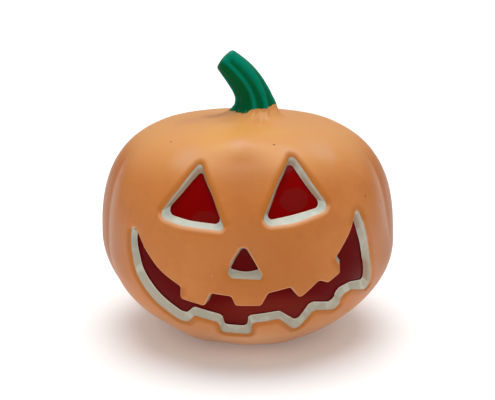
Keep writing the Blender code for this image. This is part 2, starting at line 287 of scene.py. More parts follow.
# The green starts at an uneven line, which steps up twice towards the right: where each
# step begins and ends across the stem, and its rise, in millimetres. The stem's green also has a
# painted highlight on one side,
# round one angle: the angle, how much lighter, and the width in degrees
PAINT_LINE = 173.5
PAINT_EDGE = 0.3
PAINT_STEPS = ((-1, 4, 3.5), (12, 22, 2.0))
PAINT_WOBBLE = 2.0
STEM_SIDE_HIGHLIGHT = (86, 0.07, 34)

# Patches of paint, among them painted shade in the brow's hollow and beside the stem's foot,
# painted highlights on the brow and on the stem's tip, and painted bounce light on the chin; specks
# and scuffs of the paint: middle, reach and colour. Painted reflections on the sheet, of lights in
# the eyes and of the floor in the mouth: across, up, half width, half height, where in it the full
# tint is reached, and tint.
# All places and sizes are in millimetres
PATCHES_AND_PAINTED_LIGHT = (
    ((-16, -50, 158), 34, ORANGE_YELLOW), ((14, -48, 158), 22, ORANGE_YELLOW),
    ((-42, -14, 161), 22, PINK_PAINT_AND_SHADE), ((-100, -68, 88), 30, PINK_PAINT_AND_SHADE),
    ((86, -66, 84), 30, PINK_PAINT_AND_SHADE), ((14, -114, 86), 66, ORANGE_RICH),
    ((-3, -92, 145), 32, BROW_HOLLOW_SHADE), ((-25, -3, 169), 15, STEM_FOOT_SHADE),
    ((2, -72, 7), 38, CHIN_BOUNCE_LIGHT), ((-43, -77, 153), 17, BROW_HIGHLIGHT),
    ((51, -65, 156), 19, BROW_HIGHLIGHT), ((30, -74, 155), 12, BROW_HIGHLIGHT),
    ((-5, -71, 162), 10, BROW_HIGHLIGHT),
)
SPECKS = (
    ((18.7, -71.0, 160.9), 1.2, SPECK_DARK), ((84.7, -67.6, 122.7), 1.0, SPECK_DARK),
    ((-52.2, -91.0, 114.5), 0.6, SPECK_DARK), ((-55.4, -53.4, 159.4), 1.0, SPECK_DARK),
    ((98.1, -49.5, 114.0), 1.2, SPECK_DARK), ((100.0, -46.2, 111.6), 1.0, SPECK_DARK),
    ((100.2, -47.4, 109.2), 1.0, SPECK_DARK), ((-13.3, -108.3, 118.1), 0.4, SPECK_LIGHT),
    ((-24.5, -112.3, 77.5), 0.35, SPECK_LIGHT),
)
STEM_SPECKS = (
    ((1.1, -12.4, 194.9), 0.7, LIP_SHADE_AND_SPECK), ((-12.4, -4.7, 217.6), 2.0, STEM_WORN),
    ((-6.5, -8.6, 174.4), 1.4, STEM_WORN), ((-1.1, -13.7, 174.6), 1.2, STEM_WORN),
    ((-16.5, -8.0, 214.0), 6.0, STEM_RIDGE_HIGHLIGHT),
)
PAINTED_REFLECTIONS = (
    (-28.7, 111.7, 11.0, 8.5, 0.9, RED_LIGHT_REFLECTION), (32.3, 127.0, 10.0, 7.5, 0.9, RED_LIGHT_REFLECTION),
    (16, 46, 46, 17, 0.0, RED_FLOOR_REFLECTION),
)

# Camera, surroundings and lights
SENSOR_WIDTH = 36
CAMERA_LENS = 73.29
CAMERA_SHIFT = 0.0279
CAMERA_ELEVATION = 16
CAMERA_AIM = 90 * MM
CAMERA_DISTANCE = 800 * MM
FLOOR_RADIUS = 12.0
FLOOR_SIDES = 96
ZENITH = (0.62, 0.62, 0.62)
HORIZON = (0.24, 0.24, 0.24)
TABLE_GLOW = 0.12
SUN_STRENGTH = 2.15
SUN_SPREAD = math.radians(48)
SUN_TILT = math.radians(-6)
CHIN_LIGHT_PLACE = (0, -0.9, 0.02)
CHIN_LIGHT_TARGET = (0, 0, 0.05)
CHIN_LIGHT_SIZE = 0.5
CHIN_LIGHT_POWER = 1.2

# Run of the foot, stem and tip above the body in the flat layout of the skin
FOOT_RUN = 20 * MM
STEM_RUN = 45 * MM
TIP_RUN = 12 * MM


def meridian():
    """Radius, height and running length of the body's outline, base edge to crown."""
    turn = np.linspace(0, math.pi / 2, OUTLINE_SAMPLES)
    lower = LOWER_ROUNDNESS
    upper = UPPER_ROUNDNESS
    low_r = BASE_RADIUS + (BODY_RADIUS - BASE_RADIUS) * np.cos(turn) ** (2 / lower[0])
    low_z = WIDEST_HEIGHT * (1 - np.sin(turn) ** (2 / lower[1]))
    high_r = BODY_RADIUS * np.cos(turn) ** (2 / upper[0])
    high_z = WIDEST_HEIGHT + (CROWN_HEIGHT - WIDEST_HEIGHT) * np.sin(turn) ** (2 / upper[1])
    radii = np.concatenate([low_r[::-1], high_r[1:]])
    heights = np.concatenate([low_z[::-1], high_z[1:]])
    steps = np.hypot(np.diff(radii), np.diff(heights))
    return radii, heights, np.concatenate([[0], np.cumsum(steps)])


RADII, HEIGHTS, LENGTHS = meridian()


def radius_at(length):
    return float(np.interp(length, LENGTHS, RADII))


def height_at(length):
    return float(np.interp(length, LENGTHS, HEIGHTS))


def length_at(height):
    return float(np.interp(height, HEIGHTS, LENGTHS))


def length_at_top_radius(radius):
    """Length at which the upper part of the outline has come in to a radius."""
    return float(np.interp(-radius, -RADII[OUTLINE_SAMPLES:], LENGTHS[OUTLINE_SAMPLES:]))


def bell(angle, middle, width):
    """1 at a middle angle, dying out on either side of it; the angle is in radians."""
    away = (math.degrees(angle) - middle + 180) % 360 - 180
    return math.exp(-((away / width) ** 2))


def groove(angle, height):
    """How far the ribs' grooves pull the skin in, at an angle in radians."""
    depth = 0.0
    for middle in SIDE_GROOVES:
        depth += SIDE_GROOVE_DEPTH * bell(angle, middle, SIDE_GROOVE_WIDTH)
        depth += CREASE_DEPTH * bell(angle, middle, CREASE_WIDTH)
    fade = 0.5 + 0.5 * math.tanh((height - RIGHT_SWELL_HEIGHT) / RIGHT_SWELL_REACH)
    right_depth = SIDE_GROOVE_DEPTH * fade - RIGHT_SWELL * (1 - fade)
    depth += right_depth * bell(angle, RIGHT_GROOVE, SIDE_GROOVE_WIDTH)
    depth += CREASE_DEPTH * fade * bell(angle, RIGHT_GROOVE, CREASE_WIDTH)
    rise = (height - BROW_GROOVE_HEIGHT) / BROW_GROOVE_REACH
    return depth + BROW_GROOVE_DEPTH * bell(angle, 0, BROW_GROOVE_WIDTH) * math.exp(-(rise ** 2))


def swell(angle, length, height):
    """How far the skin stands out round the spots where it swells or sinks."""
    rise = 0.0
    for middle, level, top, width, up, down in SWELLS:
        climb = (height - level) / (up if height > level else down)
        rise += top * bell(angle, middle, width) * math.exp(-(climb ** 2))
    return rise * min(1, min(length, LENGTHS[-1] - length) / SWELL_FADE)


def skin_point(angle, length, depth=0.0):
    """Point on the body at an angle from the face and a length up the outline."""
    nudge = 1 * MM
    ahead = min(length + nudge, LENGTHS[-1])
    behind = max(length - nudge, 0.0)
    slope = Vector((radius_at(ahead) - radius_at(behind), height_at(ahead) - height_at(behind)))
    slope.normalize()
    radius = radius_at(length)
    height = height_at(length)
    ribbed = radius - groove(angle, height) * (radius / BODY_RADIUS) ** 2 * slope.y
    depth -= swell(angle, length, height)
    radius = ribbed - depth * slope.y
    height = height + depth * slope.x
    return Vector((radius * math.sin(angle), -radius * math.cos(angle), height))


def stem_ring(share):
    """Centre, sideways direction and radius of the stem at a share of its length."""
    a, b, c, d = (Vector((x, z)) * MM for x, z in STEM_PATH)
    rest = 1 - share
    centre = rest ** 3 * a + 3 * rest ** 2 * share * b + 3 * rest * share ** 2 * c + share ** 3 * d
    heading = rest ** 2 * (b - a) + 2 * rest * share * (c - b) + share ** 2 * (d - c)
    heading.normalize()
    sideways = Vector((heading.y, -heading.x))
    stations = np.linspace(0, 1, len(STEM_RADII))
    radius = float(np.interp(share, stations, STEM_RADII)) * MM
    return centre, sideways, radius


def ridge(angle, share):
    """Height of the stem's ridges at an angle, as a share of its radius."""
    height = 0.0
    for middle, rise, width, tip_middle, tip_width in STEM_RIDGES:
        middle += (tip_middle - middle) * share
        width += (tip_width - width) * share
        height += rise * bell(angle, middle, width)
    return height


def stem_painted_light(angle, share):
    """How much painted light the stem's green gets: painted highlights on the ridges and on the
    side it leans from.
    """
    middle, rise, width = STEM_SIDE_HIGHLIGHT
    return ridge(angle, share) + rise * bell(angle, middle, width)


def stem_point(angle, share, shrink=0.0, scale=1.0, lift=0.0):
    """Point on the stem, drawn in by shrink, scaled, and pushed on along it by lift."""
    centre, sideways, radius = stem_ring(share)
    fade = 1 - RIDGE_FADE * share ** 6
    radius = (radius * (STEM_HOLLOW + ridge(angle, share) * fade) - shrink) * scale
    forward = Vector((-sideways.y, sideways.x))
    spot = centre + sideways * (radius * math.sin(angle)) + forward * lift
    return Vector((spot.x, -radius * math.cos(angle), spot.y))


def fold(angle, away):
    """Height of the folds round the stem's foot, at a length away from where it starts."""
    height = sum(rise * bell(angle, middle, width) for middle, rise, width in FOLDS)
    share = (away + FOLD_REACH) / (FOOT_RUN + FOLD_REACH)
    return height * math.sin(math.pi * min(1, max(0, share))) ** 2


def foot_point(angle, share):
    """Point on the foot, between the crown and the stem's first ring."""
    start = skin_point(angle, FOOT_START)
    end = stem_point(angle, 0.0)
    spot = start.lerp(end, share)
    spot.z = start.z + (end.z - start.z) * share ** 2
    return spot


def tip_point(angle, share):
    """Point on the stem's end, round its edge and then in to its middle."""
    if share <= 0.5:
        turn = share * math.pi
        shrink = STEM_TIP_ROUND * (1 - math.cos(turn))
        return stem_point(angle, 1, shrink, 1, STEM_TIP_ROUND * math.sin(turn))
    scale = 2 * (1 - share)
    lift = STEM_TIP_ROUND + TIP_DOME * (1 - scale ** 2)
    return stem_point(angle, 1, STEM_TIP_ROUND, scale, lift)


FOOT_START = length_at_top_radius(FOOT_OUTER_RADIUS)
STEM_START = FOOT_START + FOOT_RUN
TIP_START = STEM_START + STEM_RUN


def wrapped(flat):
    """A point of the flat layout (round the body, up the outline, depth) in its place."""
    angle = flat.x / BODY_RADIUS
    if flat.y < 0:
        edge = skin_point(angle, 0, flat.z)
        return edge.lerp(Vector((0, 0, flat.z)), -flat.y / BASE_RADIUS)
    if flat.z > 0 or flat.y < FOOT_START - FOLD_REACH:
        return skin_point(angle, flat.y, flat.z)
    lift = Vector((0, 0, fold(angle, flat.y - FOOT_START)))
    if flat.y <= FOOT_START:
        return skin_point(angle, flat.y) + lift
    if flat.y <= STEM_START:
        return foot_point(angle, (flat.y - FOOT_START) / FOOT_RUN) + lift
    if flat.y <= TIP_START:
        return stem_point(angle, (flat.y - STEM_START) / STEM_RUN)
    return tip_point(angle, min(1, (flat.y - TIP_START) / TIP_RUN))


def flattened(corner):
    """A front-view corner as (arc round the widest ring, length up the outline)."""
    across, height, radius = (value * MM for value in corner)
    length = length_at(height)
    angle = math.asin(across / radius_at(length))
    for _ in range(3):
        reach = skin_point(angle, length)
        angle = math.asin(across / math.hypot(reach.x, reach.y))
    return Vector((angle * BODY_RADIUS, length)), radius


def turn_side(outline):
    """1 where the outline runs anticlockwise, -1 where it runs clockwise."""
    area = sum(a.cross(b) for a, b in zip(outline, outline[1:] + outline[:1]))
    return math.copysign(1, area)


def arc_cuts(corners):
    """How much of each side the rounding at each corner takes up."""
    cuts = []
    for index, (spot, radius) in enumerate(corners):
        back = corners[index - 1][0] - spot
        ahead = corners[(index + 1) % len(corners)][0] - spot
        half = back.angle(ahead) / 2
        longest = LARGEST_ARC * min(back.length, ahead.length)
        cuts.append(min(radius / math.tan(half), longest))
    return cuts


def side_steps(corners):
    """How many steps the straight part of each side is divided into."""
    cuts = arc_cuts(corners)
    steps = []
    for index, (spot, _) in enumerate(corners):
        after = (index + 1) % len(corners)
        straight = (corners[after][0] - spot).length - cuts[index] - cuts[after]
        steps.append(max(1, round(straight / SIDE_STEP)))
    return steps


def rounded(corners, steps):
    """The outline through the corners, each one turned into an arc."""
    cuts = arc_cuts(corners)
    outline = []
    for index, (spot, _) in enumerate(corners):
        after = (index + 1) % len(corners)
        back = (corners[index - 1][0] - spot).normalized()
        ahead = (corners[after][0] - spot).normalized()
        start = spot + back * cuts[index]
        end = spot + ahead * cuts[index]
        weight = math.sin(back.angle(ahead) / 2)
        for step in range(ARC_STEPS + 1):
            share = step / ARC_STEPS
            rest = 1 - share
            bend = rest ** 2 * start + 2 * rest * share * weight * spot + share ** 2 * end
            outline.append(bend / (rest ** 2 + 2 * rest * share * weight + share ** 2))
        goal = corners[after][0] - ahead * cuts[after]
        for step in range(1, steps[index]):
            outline.append(end.lerp(goal, step / steps[index]))
    return outline


def outward_normals(outline):
    """Directions that point away from the opening, one for each point."""
    side = turn_side(outline)
    normals = []
    for index in range(len(outline)):
        along = (outline[(index + 1) % len(outline)] - outline[index - 1]).normalized()
        normals.append(Vector((along.y, -along.x)) * side)
    return normals


def lip_depth(distance, width):
    """How far the skin has bent in at a distance from an opening's rim."""
    if distance >= width:
        return 0.0
    bend = width / math.sin(LIP_TURN)
    return bend - math.sqrt(bend ** 2 - (width - distance) ** 2)


class Opening:
    """An eye, the nose or the mouth: its rim, its throat and the roundness of its lip."""

    def __init__(self, corners, throat, lip, upper_lip):
        outer = [flattened(corner) for corner in corners]
        steps = side_steps(outer)
        self.rim = rounded(outer, steps)
        self.throat = rounded([flattened(corner) for corner in throat], steps)
        self.normals = outward_normals(self.rim)
        widths = []
        for corner, step in zip(corners, steps):
            upper = corner in UPPER_LIP[1:-1]
            widths += [upper_lip if upper else lip] * (ARC_STEPS + step)
        self.lips = self.blended(widths)

    def blended(self, widths):
        """Lip widths averaged with their neighbours along the rim."""
        reach = max(1, round(LIP_BLEND / SIDE_STEP))
        count = len(widths)
        window = range(-reach, reach + 1)
        return [sum(widths[(i + k) % count] for k in window) / len(window) for i in range(count)]

    def inner_throat(self):
        """The throat's outline where its chamfer meets the inside of the wall."""
        normals = outward_normals(self.throat)
        return [spot + away * INNER_CHAMFER for spot, away in zip(self.throat, normals)]


class Outlines:
    """Closed outlines in the flat layout, with the distance to the nearest one."""

    def __init__(self, outlines):
        self.outlines = outlines
        self.normals = [outward_normals(outline) for outline in outlines]
        self.entries = [(k, i) for k, outline in enumerate(outlines) for i in range(len(outline))]
        self.tree = kdtree.KDTree(len(self.entries))
        for number, (k, i) in enumerate(self.entries):
            self.tree.insert(outlines[k][i].to_3d(), number)
        self.tree.balance()

    def nearest(self, spot):
        """Distance to the nearest outline, below 0 inside it, and its two numbers."""
        spot = Vector((spot.x, spot.y))
        _, number, _ = self.tree.find(spot.to_3d())
        k, i = self.entries[number]
        outline = self.outlines[k]
        distance = math.inf
        for a, b in ((outline[i - 1], outline[i]), (outline[i], outline[(i + 1) % len(outline)])):
            foot, share = geometry.intersect_point_line(spot, a, b)
            foot = a.lerp(b, min(1, max(0, share)))
            distance = min(distance, (spot - foot).length)
        inside = (spot - outline[i]).dot(self.normals[k][i]) < 0
        return (-distance if inside else distance), k, i


def first_ring(shape, outline, depth):
    """A closed ring of edges through an outline, its points numbered in order."""
    order = shape.verts.layers.int["order"]
    points = [shape.verts.new((spot.x, spot.y, depth)) for spot in outline]
    for index, point in enumerate(points):
        point[order] = index
    return [shape.edges.new((points[i - 1], points[i])) for i in range(len(points))]


def next_ring(shape, edges, spots):
    """Extrude a ring of edges to new spots, one for each of its numbered points."""
    order = shape.verts.layers.int["order"]
    grown = bmesh.ops.extrude_edge_only(shape, edges=edges)["geom"]
    points = {item for item in grown if isinstance(item, bmesh.types.BMVert)}
    for point in points:
        point.co = spots[point[order]]
    return [e for e in grown if isinstance(e, bmesh.types.BMEdge) and points.issuperset(e.verts)]


def pierced_sheet(shape, columns, lengths, depth, outlines, clearance, rings):
    """A grid in the flat layout with holes, filled up to the rings round its openings."""
    made = bmesh.ops.create_grid(shape, x_segments=columns, y_segments=len(lengths) - 1, size=1)
    near = {}
    for vertex in made["verts"]:
        column = round((vertex.co.x + 1) / 2 * columns)
        row = round((vertex.co.y + 1) / 2 * (len(lengths) - 1))
        turn = math.pi * (2 * column / columns - 1)
        vertex.co = (turn * BODY_RADIUS, lengths[row], depth)
        near[vertex] = outlines.nearest(vertex.co)
    faces = {face for vertex in made["verts"] for face in vertex.link_faces}
    holes = [face for face in faces if any(near[v][0] < clearance for v in face.verts)]
    bmesh.ops.delete(shape, geom=holes, context="FACES")
    borders = {}
    for vertex, (distance, k, _) in near.items():
        if vertex.is_valid and distance < FILL_REACH:
            for edge in vertex.link_edges:
                if len(edge.link_faces) == 1:
                    borders.setdefault(k, set()).add(edge)
    for k, ring in enumerate(rings):
        edges = list(borders[k]) + ring
        bmesh.ops.triangle_fill(shape, edges=edges, use_beauty=True, normal=(0, 0, 1))


def shares(count):
    return [(index + 1) / count for index in range(count)]


def base_lengths():
    """Rows of the base, below 0, from its middle outwards."""
    return [-BASE_RADIUS * (1 - index / BASE_ROWS) for index in range(BASE_ROWS)]


def body_lengths(row, end):
    """Rows up the body from its edge on the base to an end, about a row apart."""
    count = math.ceil(end / row)
    return [end * index / count for index in range(count + 1)]


def skin_lengths():
    """Rows of the skin, from the middle of the base to the middle of the stem's end."""
    lengths = base_lengths() + body_lengths(SKIN_ROW, FOOT_START)
    lengths += [FOOT_START + FOOT_RUN * share for share in shares(FOOT_ROWS)]
    lengths += [STEM_START + STEM_RUN * share for share in shares(STEM_ROWS)]
    return lengths + [TIP_START + TIP_RUN * share for share in shares(TIP_ROWS)]


def inside_lengths():
    return base_lengths() + body_lengths(INSIDE_ROW, LENGTHS[-1])


def finished(name, shape):
    """The shape as a smooth object at the origin."""
    bmesh.ops.remove_doubles(shape, verts=shape.verts, dist=MERGE_DISTANCE)
    bmesh.ops.dissolve_degenerate(shape, edges=shape.edges, dist=MERGE_DISTANCE)
    bmesh.ops.recalc_face_normals(shape, faces=shape.faces)
    mesh = bpy.data.meshes.new(name)
    shape.to_mesh(mesh)
    shape.free()
    mesh.shade_smooth()
    piece = bpy.data.objects.new(name, mesh)
    bpy.context.collection.objects.link(piece)
    return piece


def rim_rings(shape, opening):
    """Rings of edges round an opening in the flat skin: its rim, and the outermost."""
    rim = first_ring(shape, opening.rim, 0)
    ring = rim
    for offset in RING_OFFSETS:
        pairs = zip(opening.rim, opening.normals)
        ring = next_ring(shape, ring, [(spot + away * offset).to_3d() for spot, away in pairs])
    return rim, ring


def bend_lips(shape, openings, rims):
    """Bend the flat skin in towards the openings, and note how near they are."""
    near = shape.verts.layers.float["rim_distance"]
    rise = shape.verts.layers.float["wall_rise"]
    for vertex in shape.verts:
        distance, k, i = rims.nearest(vertex.co)
        vertex[near] = distance / MM
        vertex[rise] = -openings[k].normals[i].y
        vertex.co.z = lip_depth(max(distance, 0), openings[k].lips[i])


def opening_wall(shape, opening, ring):
    """The wall from an opening's rim to its throat, then a chamfer to the inside."""
    order = shape.verts.layers.int["order"]
    near = shape.verts.layers.float["rim_distance"]
    rise = shape.verts.layers.float["wall_rise"]
    floors = [lip_depth(0, lip) for lip in opening.lips]
    bottom = WALL - INNER_CHAMFER
    for share, bead in WALL_STEPS:
        spots = []
        for rim, throat, away, floor in zip(opening.rim, opening.throat, opening.normals, floors):
            spot = rim.lerp(throat, share) - away * bead
            spots.append((*spot, floor + (bottom - floor) * share))
        ring = next_ring(shape, ring, spots)
        for vertex in {vertex for edge in ring for vertex in edge.verts}:
            vertex[near] = -share * WALL / MM
            vertex[rise] = -opening.normals[vertex[order]].y
    pairs = zip(opening.throat, opening.normals)
    return next_ring(shape, ring, [(*(spot + away * INNER_CHAMFER), WALL) for spot, away in pairs])


def wrap_round(shape):
    """Bring the flat layout to its place, with the last marks that the paint and the stem's painted
    light go by.
    """
    near = shape.verts.layers.float["rim_distance"]
    light = shape.verts.layers.float["stem_painted_light"]
    for vertex in shape.verts:
        if vertex.co.z > WALL - INNER_CHAMFER / 2:
            vertex[near] = -WALL / MM
        share = min(1, max(0, (vertex.co.y - STEM_START) / STEM_RUN))
        # Painted light of the stem's green, from its ridges and its lit side
        vertex[light] = stem_painted_light(vertex.co.x / BODY_RADIUS, share)
        vertex.co = wrapped(vertex.co)


def pumpkin_shell():
    """Body, foot and stem in one moulding, with its four openings and its inside."""
    openings = [Opening(*opening) for opening in OPENINGS]
    rims = Outlines([opening.rim for opening in openings])
    throats = Outlines([opening.inner_throat() for opening in openings])
    shape = bmesh.new()
    shape.verts.layers.int.new("order")
    for mark in ("rim_distance", "wall_rise", "stem_painted_light"):
        shape.verts.layers.float.new(mark)

    rings = [rim_rings(shape, opening) for opening in openings]
    outermost = [ring for _, ring in rings]
    pierced_sheet(shape, COLUMNS, skin_lengths(), 0, rims, CLEAR_OF_RINGS, outermost)
    bend_lips(shape, openings, rims)
    ends = [opening_wall(shape, opening, rim) for opening, (rim, _) in zip(openings, rings)]
    pierced_sheet(shape, INSIDE_COLUMNS, inside_lengths(), WALL, throats, CLEAR_INSIDE, ends)
    wrap_round(shape)
    return finished("pumpkin_shell", shape)


def red_sheet():
    """The curved sheet behind the face, a wall's thickness and a gap under the skin."""
    foot = length_at(SHEET_FOOT)
    top = length_at(SHEET_TOP)
    shape = bmesh.new()
    bmesh.ops.create_grid(shape, x_segments=SHEET_COLUMNS, y_segments=SHEET_ROWS, size=1)
    for vertex in shape.verts:
        angle = math.radians(SHEET_HALF_ANGLE) * vertex.co.x
        length = foot + (top - foot) * (vertex.co.y + 1) / 2
        vertex.co = skin_point(angle, length, WALL + SHEET_GAP)
    sheet = finished("red_sheet", shape)
    thicken = sheet.modifiers.new("thickness", "SOLIDIFY")
    thicken.thickness = SHEET_THICKNESS
    thicken.offset = -1
    thicken.use_even_offset = True
    return sheet


class Flow:
    """What a socket gives, with arithmetic that adds Math nodes to its recipe."""

    def __init__(self, recipe, socket):
        self.recipe = recipe
        self.socket = socket

    def __add__(self, other):
        return self.recipe.maths("ADD", self, other)

    def __radd__(self, other):
        return self.recipe.maths("ADD", other, self)

    def __sub__(self, other):
        return self.recipe.maths("SUBTRACT", self, other)

    def __rsub__(self, other):
        return self.recipe.maths("SUBTRACT", other, self)

    def __mul__(self, other):
        return self.recipe.maths("MULTIPLY", self, other)

    def __rmul__(self, other):
        return self.recipe.maths("MULTIPLY", other, self)

    def __abs__(self):
        return self.recipe.maths("ABSOLUTE", self)


class Recipe:
    """A node tree, whose nodes all come from one method."""

    def __init__(self, tree):
        self.tree = tree

    def node(self, kind, settings, inputs, output=0):
        """Add a node, apply its settings, then set or link its sockets."""
        made = self.tree.nodes.new(kind)
        for name, value in settings.items():
            setattr(made, name, value)
        for name, value in inputs.items():
            self.feed(made.inputs[name], value)
        return Flow(self, made.outputs[output])

    def feed(self, socket, value):
        """Link a flow to a socket, or set the socket to a constant."""
        if isinstance(value, Flow):
            self.tree.links.new(value.socket, socket)
        else:
            socket.default_value = value

    def maths(self, operation, *terms):
        return self.node("ShaderNodeMath", {"operation": operation}, dict(enumerate(terms)))

    def place(self):
        """Place on the object in millimetres."""
        spot = self.node("ShaderNodeTexCoord", {}, {}, "Object")
        return self.node("ShaderNodeVectorMath", {"operation": "SCALE"}, {0: spot, "Scale": 1 / MM})

    def along(self, spot, axis):
        return self.node("ShaderNodeSeparateXYZ", {}, {0: spot}, axis)

    def strayed(self, spot):
        """The place moved about by noise, so that patches get uneven edges."""
        move = self.noise(spot, STRAY_SIZE, colour=True)
        inputs = {0: move, 1: (STRAY, STRAY, STRAY), 2: spot}
        moved = self.node("ShaderNodeVectorMath", {"operation": "MULTIPLY_ADD"}, inputs)
        inputs = {0: moved, 1: (STRAY / 2, STRAY / 2, STRAY / 2)}
        return self.node("ShaderNodeVectorMath", {"operation": "SUBTRACT"}, inputs)

    def attribute(self, name):
        return self.node("ShaderNodeAttribute", {"attribute_name": name}, {}, "Fac")

    def noise(self, spot, size, detail=2.0, colour=False):
        """Soft random pattern around 0.5, its blotches about size millimetres wide."""
        inputs = {"Vector": spot, "Scale": 1 / size, "Detail": detail}
        return self.node("ShaderNodeTexNoise", {}, inputs, "Color" if colour else 0)

    def rise(self, value, low, high):
        """Smooth step from 0 at low to 1 at high, which may be the smaller of the two."""
        inputs = {"Value": value, "From Min": low, "From Max": high}
        return self.node("ShaderNodeMapRange", {"interpolation_type": "SMOOTHSTEP"}, inputs)

    def mixed(self, share, first, second):
        """Two colours mixed by a share from 0 to 1."""
        inputs = {0: share}
        for socket, colour in ((6, first), (7, second)):
            inputs[socket] = colour if isinstance(colour, Flow) else (*colour, 1)
        return self.node("ShaderNodeMix", {"data_type": "RGBA"}, inputs, 2)

    def distance(self, spot, centre):
        inputs = {0: spot, 1: centre}
        return self.node("ShaderNodeVectorMath", {"operation": "DISTANCE"}, inputs, "Value")

    def relief(self, height, depth, under=None):
        """Bump of a height from 0 to 1 that is depth millimetres deep."""
        inputs = {"Height": height, "Distance": depth * MM, "Strength": 1.0}
        if under is not None:
            inputs["Normal"] = under
        return self.node("ShaderNodeBump", {}, inputs)


class Finish(Recipe):
    """A material's recipe, with some of its shader's sockets set to constants."""

    def __init__(self, name, **constants):
        self.material = bpy.data.materials.new(name)
        self.material.use_nodes = True
        super().__init__(self.material.node_tree)
        self.shader = self.tree.nodes["Principled BSDF"]
        for socket, value in constants.items():
            self.shader.inputs[socket.replace("_", " ")].default_value = value

    def top(self, shading):
        """Use another shading in place of the finish's own shader."""
        self.feed(self.tree.nodes["Material Output"].inputs["Surface"], shading)

    def dress(self, colour, roughness, bumps):
        """Set what changes over the surface on the finish's own shader."""
        for socket, value in (("Base Color", colour), ("Roughness", roughness), ("Normal", bumps)):
            self.feed(self.shader.inputs[socket], value)

    def coat(self, piece):
        piece.data.materials.append(self.material)


def dabbed(finish, spot, colour, spots, softness, strength=1.0):
    """The colour with round spots of other colours over it."""
    for middle, size, tint in spots:
        away = finish.distance(spot, middle)
        colour = finish.mixed(strength * finish.rise(away, size, size * softness), colour, tint)
    return colour


def rim_shade_and_highlight(finish, height, rim, facing):
    """Shares of a dark band over the eyes and under the rest, partly painted shade and partly a
    richer paint, and of a pale one opposite, a painted highlight.
    """
    eyes = finish.rise(height, *EYE_LEVEL)
    rest = 1 - eyes
    # Painted shade on the lips by which way they face, partly a richer paint
    dark = eyes * finish.rise(facing, 0.1, -0.3) + rest * finish.rise(facing, -0.4, 0.0)
    pale = eyes * finish.rise(facing, 0.0, 0.4) * finish.rise(rim, 3.5, 1.0)
    pale = pale + rest * finish.rise(facing, -0.2, -0.5) * finish.rise(rim, 1.2, 0.3)
    return 0.85 * dark * finish.rise(rim, 6.5, 2.0), 0.8 * pale


def orange_paint(finish, spot, mottle, rim, facing):
    """Sprayed orange: yellower on the crown, paler at the foot as painted bounce light, darker on
    the sides as painted shade, and banded round the rims with painted shade and highlights.
    """
    height = finish.along(spot, "Z")
    cloud = finish.noise(spot, CLOUD) + 0.4 * (mottle - 0.5)
    orange = finish.mixed(finish.rise(cloud, 0.3, 0.7), ORANGE_DEEP, ORANGE)
    orange = finish.mixed(finish.rise(height, *CROWN_TINT), orange, ORANGE_TOP)
    # Painted bounce light from the floor, paler towards the foot
    orange = finish.mixed(finish.rise(height, *FOOT_BOUNCE_HEIGHTS), orange, FOOT_BOUNCE_LIGHT)
    # Patches of paint, with painted shade, painted highlights and painted bounce light among them
    orange = dabbed(finish, finish.strayed(spot), orange, PATCHES_AND_PAINTED_LIGHT, 0.1, 0.6)
    # Painted shade on the sides, where the body turns away from the light
    sides = finish.rise(abs(finish.along(spot, "X")), *SIDE_SHADE_REACH)
    orange = finish.mixed(0.8 * sides, orange, SIDE_SHADE)
    # Painted shade and painted highlights round the rims
    dark, pale = rim_shade_and_highlight(finish, height, rim, facing)
    orange = finish.mixed(dark, orange, LIP_SHADE_AND_SPECK)
    orange = finish.mixed(pale, orange, LIP_HIGHLIGHT)
    return dabbed(finish, spot, orange, SPECKS, 0.4)


def bare_plastic(finish, spot, mottle, rim, facing):
    """White plastic of the walls: browner where it faces down and deeper in, as painted shade with
    some orange overspray, and pale along its inner edge where it faces up, as a painted highlight.
    """
    height = finish.along(spot, "Z")
    white = finish.mixed(finish.rise(height, *LOW_PLASTIC), WHITE_PLASTIC, WHITE_LOW)
    clean = finish.rise(finish.noise(spot, 11, 1), 0.5, 0.7)
    white = finish.mixed(0.5 * clean, white, WHITE_CLEAN)
    # Painted shade, with some orange overspray, on walls that face down and deeper in the opening
    shade_and_overspray = finish.rise(facing + 0.2 * (mottle - 0.5), -0.15, -0.45)
    white = finish.mixed(shade_and_overspray * (0.4 + 0.6 * finish.rise(rim, -0.5, -4.0)), white, WALL_SHADE_AND_OVERSPRAY)
    # Painted highlight along the wall's inner edge where it faces up
    edge = finish.rise(rim, -5.3, -5.6) * finish.rise(facing, -0.3, 0.2)
    return finish.mixed(edge, white, WALL_EDGE_HIGHLIGHT)


def stem_paint(finish, spot, mottle):
    """Green with painted shade in the valleys and painted highlights on the ridges, with a few worn
    spots.
    """
    # Painted highlights on the ridges and the lit side, painted shade in the valleys
    light = finish.rise(finish.attribute("stem_painted_light") + 0.04 * (mottle - 0.5), 0.02, 0.15)
    green = finish.mixed(light, STEM_VALLEY_SHADE, STEM_RIDGE_HIGHLIGHT)
    return dabbed(finish, spot, green, STEM_SPECKS, 0.3)


def stem_cover(finish, spot):
    """1 above the uneven line where the stem's green begins, and 0 below it."""
    across = finish.along(spot, "X")
    level = finish.along(spot, "Z") - PAINT_WOBBLE * (finish.noise(spot, 3, 3) - 0.5)
    for start, end, rise in PAINT_STEPS:
        level = level - rise * finish.rise(across, start, end)
    return finish.rise(level, PAINT_LINE - PAINT_EDGE, PAINT_LINE + PAINT_EDGE)


